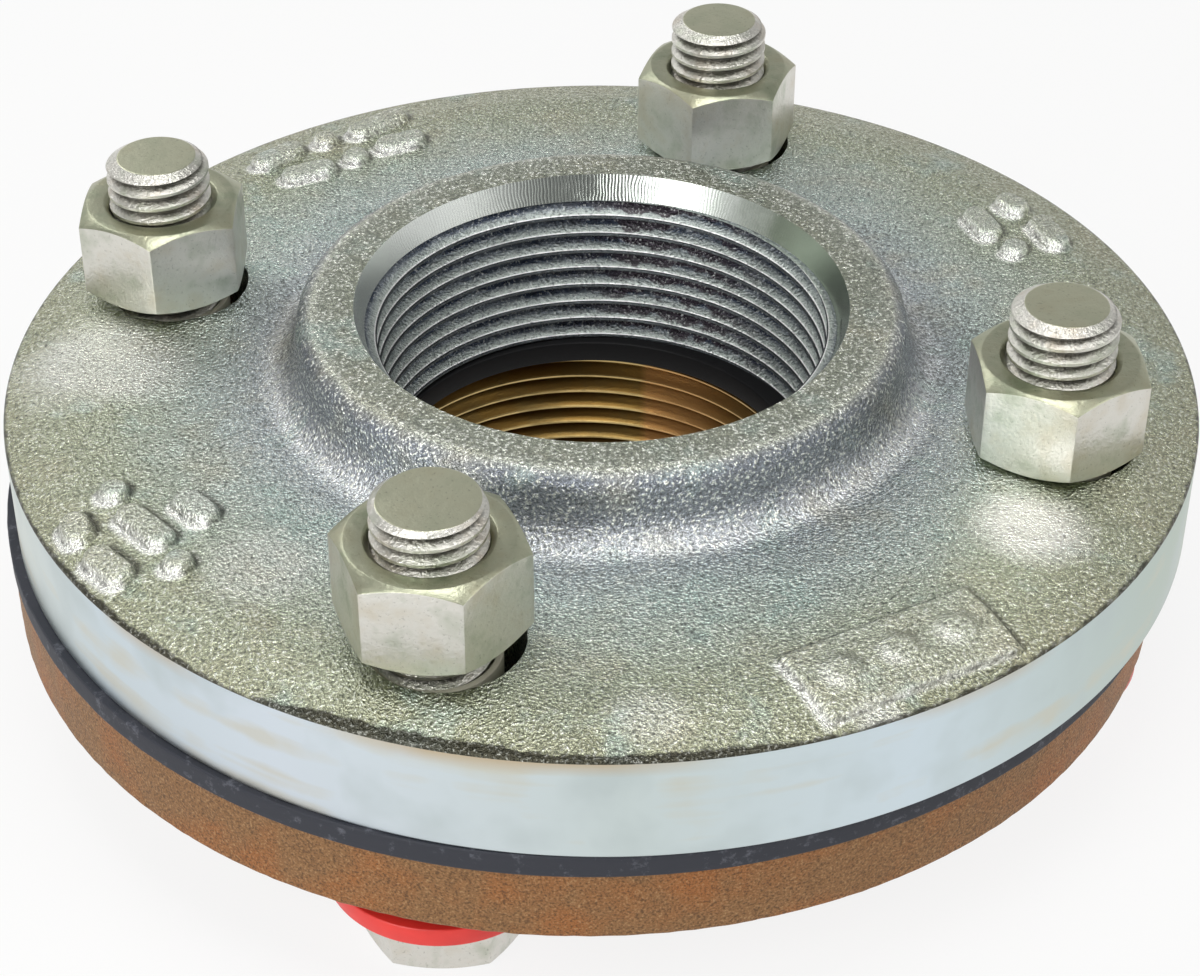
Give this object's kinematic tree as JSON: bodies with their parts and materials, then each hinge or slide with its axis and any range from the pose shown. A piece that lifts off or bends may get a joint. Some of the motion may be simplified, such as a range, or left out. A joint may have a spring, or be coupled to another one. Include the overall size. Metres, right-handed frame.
{
  "type": "dielectric union",
  "caption": "Flanged dielectric pipe union: a zinc plated iron flange bolted over a bronze flange, with a rubber gasket and bolts in insulating sleeves and washers.",
  "frame": {"origin": "on the iron flange's bore axis, at the height that the bronze hub's end and the bolt heads stand on", "axes": "+Z along the pipe, out of the iron hub; -Y towards the side with the lifted nut, +X to its right"},
  "size_m": [0.1804, 0.179, 0.0732],
  "materials": {
    "plated_iron": "zinc plated sand casting",
    "bronze": "sand-cast bronze, golden in the thread",
    "rubber": "black sheet rubber",
    "plated_steel": "zinc plated, satin",
    "sleeve_plastic": "pale, thin-walled",
    "washer_plastic": "red, smooth"
  },
  "bodies": {
    "root": {"iron_flange": "plated_iron", "bronze_flange": "bronze", "gasket": "rubber", "hex_bolt_1": "plated_steel", "hex_nut_1": "plated_steel", "insulating_sleeve_1": "sleeve_plastic", "insulating_washer_1": "washer_plastic", "hex_bolt_2": "plated_steel", "hex_nut_2": "plated_steel", "insulating_sleeve_2": "sleeve_plastic", "insulating_washer_2": "washer_plastic", "hex_bolt_3": "plated_steel", "hex_nut_3": "plated_steel", "insulating_sleeve_3": "sleeve_plastic", "insulating_washer_3": "washer_plastic", "hex_bolt_4": "plated_steel", "hex_nut_4": "plated_steel", "insulating_sleeve_4": "sleeve_plastic", "insulating_washer_4": "washer_plastic"}
  },
  "joints": []
}
